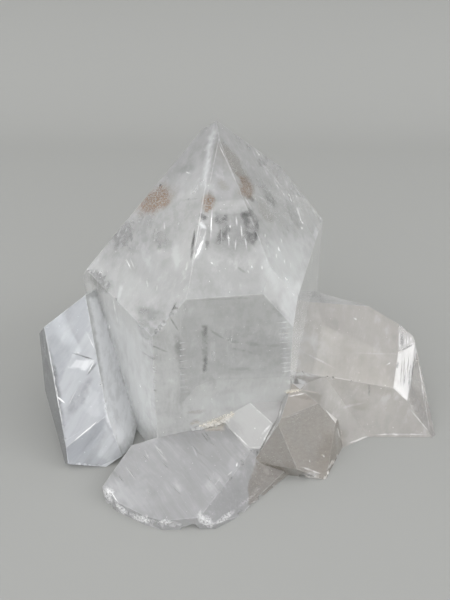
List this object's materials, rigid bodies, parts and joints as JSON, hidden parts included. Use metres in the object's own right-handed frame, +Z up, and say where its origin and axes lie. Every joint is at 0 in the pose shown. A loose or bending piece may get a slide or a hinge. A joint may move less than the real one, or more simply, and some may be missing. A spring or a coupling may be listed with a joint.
{
  "type": "clear quartz cluster",
  "caption": "Cluster of clear to milky quartz crystals grown together: a tall faceted point with shorter crystals at its foot and a low broken slab in front, on a flat cut base.",
  "frame": {"origin": "on the flat underside, below the middle of the cluster's outline", "axes": "+Z up along the tall point; +X to the right and -Y towards the viewer when the low slab lies in front; the cluster is longest along X and lowest along Z"},
  "size_m": [0.3244, 0.267, 0.2326],
  "materials": {
    "quartz": "polished natural crystal faces, milky inside"
  },
  "bodies": {
    "root": {"quartz_cluster": "quartz"}
  },
  "joints": []
}
